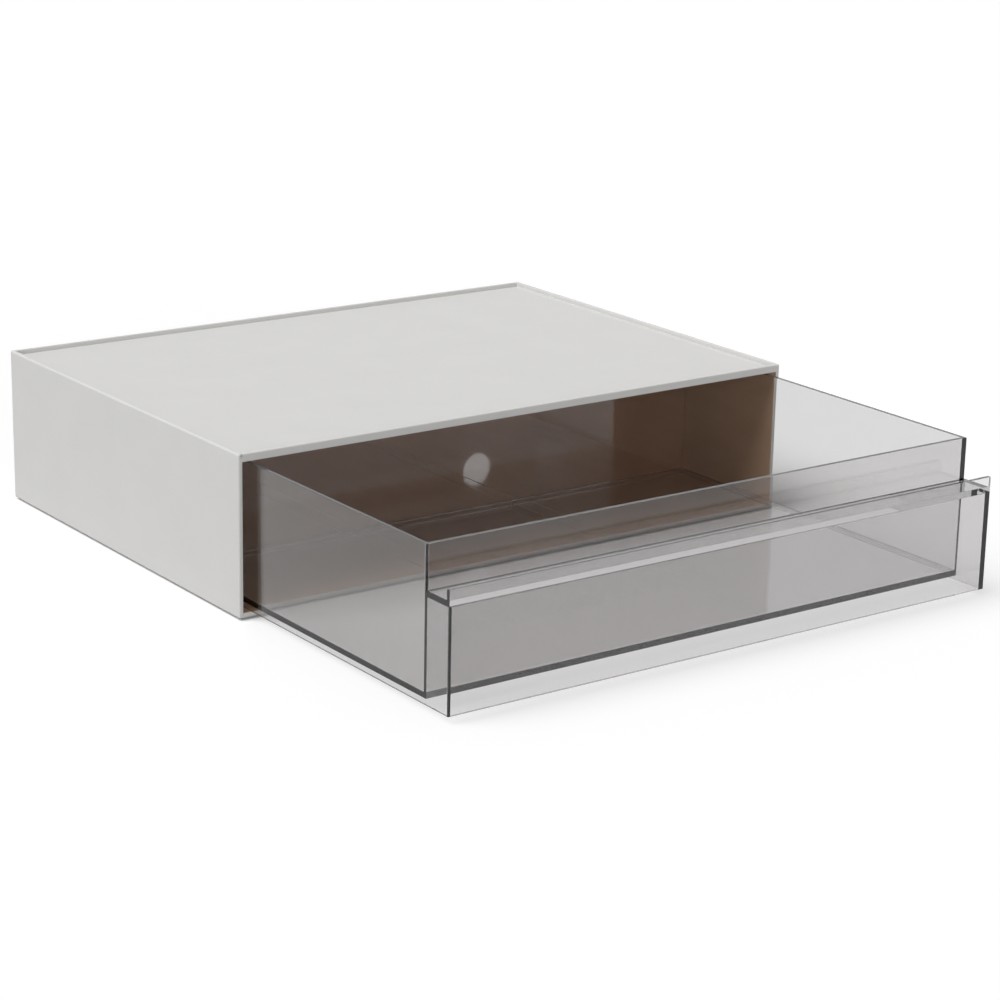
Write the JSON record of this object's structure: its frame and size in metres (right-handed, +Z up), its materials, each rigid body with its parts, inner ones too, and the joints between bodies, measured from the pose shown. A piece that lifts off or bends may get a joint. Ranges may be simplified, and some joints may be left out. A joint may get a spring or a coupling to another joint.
{
  "type": "stackable drawer box",
  "caption": "Low wide stackable case with a raised rim on top, and a clear pull-out drawer with a stepped front panel and a lip to pull it by.",
  "frame": {"origin": "middle of the box's footprint with the drawer pulled out as at rest, on the surface that the feet stand on", "axes": "+X to the right seen from the front, +Y from the open front to the rear, +Z up; the drawer slides out along -Y"},
  "size_m": [0.36, 0.4334, 0.0887],
  "materials": {
    "case_panel": "matte light warm grey outside, smooth glossy brown inside",
    "foot": "matte",
    "clear_drawer": "clear moulded plastic with a faint smoke tint, polished"
  },
  "bodies": {
    "case": {"case_left_side": "case_panel", "case_right_side": "case_panel", "case_rear_panel": "case_panel", "case_floor_panel": "case_panel", "case_top_panel": "case_panel", "case_front_rail": "case_panel", "foot_front_left": "foot", "foot_front_right": "foot", "foot_rear_left": "foot", "foot_rear_right": "foot"},
    "drawer": {"drawer_tray": "clear_drawer", "drawer_front": "clear_drawer"}
  },
  "joints": [
    {"name": "drawer_slide", "type": "slide", "parent": "case", "child": "drawer", "axis": [0, -1, 0], "range_m": [-0.1774, 0.04]}
  ]
}
